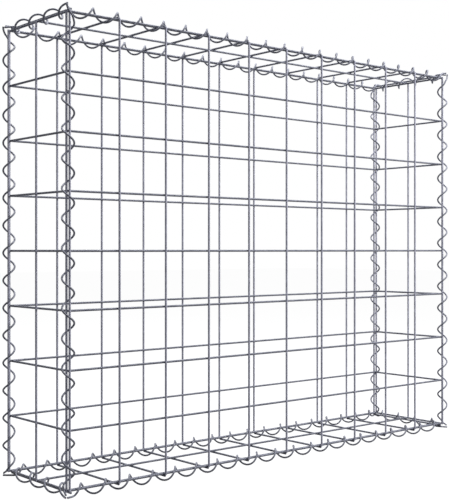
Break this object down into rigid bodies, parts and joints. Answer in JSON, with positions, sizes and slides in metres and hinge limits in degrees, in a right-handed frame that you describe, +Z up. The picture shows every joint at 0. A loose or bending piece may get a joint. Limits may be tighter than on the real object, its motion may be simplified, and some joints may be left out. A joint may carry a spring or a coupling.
{
  "type": "gabion basket",
  "caption": "Tall narrow box of welded galvanised wire mesh panels with square cells, laced together along every edge by open wire spirals, to be filled with stones.",
  "frame": {"origin": "on the ground under the middle of the basket", "axes": "+X along the basket's length, -Y is its front, +Z up"},
  "size_m": [1.0298, 0.2302, 0.8305],
  "materials": {
    "galvanised_wire": "satin",
    "galvanised_spiral": "satin"
  },
  "bodies": {
    "root": {"front_panel": "galvanised_wire", "back_panel": "galvanised_wire", "left_panel": "galvanised_wire", "right_panel": "galvanised_wire", "lid_panel": "galvanised_wire", "bottom_panel": "galvanised_wire", "spiral_front_left": "galvanised_spiral", "spiral_front_right": "galvanised_spiral", "spiral_back_left": "galvanised_spiral", "spiral_back_right": "galvanised_spiral", "spiral_top_front": "galvanised_spiral", "spiral_top_back": "galvanised_spiral", "spiral_top_left": "galvanised_spiral", "spiral_top_right": "galvanised_spiral", "spiral_bottom_front": "galvanised_spiral", "spiral_bottom_back": "galvanised_spiral", "spiral_bottom_left": "galvanised_spiral", "spiral_bottom_right": "galvanised_spiral"}
  },
  "joints": []
}
